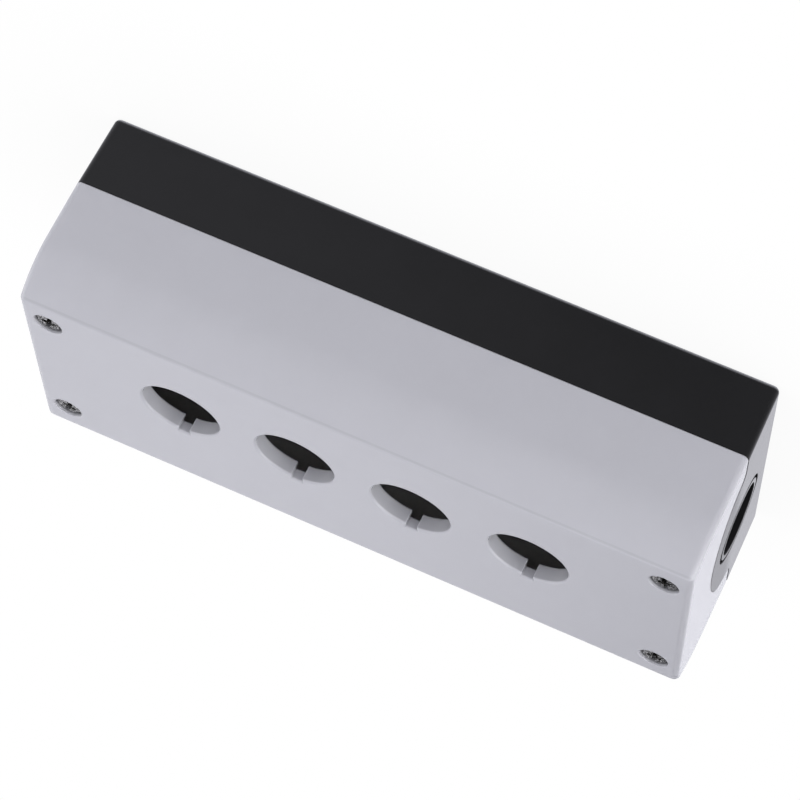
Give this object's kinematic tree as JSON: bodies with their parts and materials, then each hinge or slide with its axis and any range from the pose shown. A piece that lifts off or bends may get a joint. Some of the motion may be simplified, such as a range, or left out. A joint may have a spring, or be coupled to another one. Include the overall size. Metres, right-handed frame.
{
  "type": "pushbutton enclosure",
  "caption": "Long plastic enclosure with a black base, a grey cover with a row of keyed round panel holes, corner screws and a knockout cable entry in the arched tongue at each end.",
  "frame": {"origin": "centre of the back face, on the wall", "axes": "+X along the row of panel holes, +Y away from their keyways, +Z out of the front face"},
  "size_m": [0.187, 0.0804, 0.0555],
  "materials": {
    "black_plastic": "fine moulded texture, black",
    "grey_plastic": "fine moulded texture, light grey",
    "seal_rubber": "matt",
    "plated_steel": "nickel plated, bright"
  },
  "bodies": {
    "root": {"base": "black_plastic", "cover": "grey_plastic", "cover_seal": "seal_rubber", "cover_screw_1": "plated_steel", "cover_screw_2": "plated_steel", "cover_screw_3": "plated_steel", "cover_screw_4": "plated_steel", "screw_seal_1": "seal_rubber", "screw_seal_2": "seal_rubber", "screw_seal_3": "seal_rubber", "screw_seal_4": "seal_rubber"}
  },
  "joints": []
}
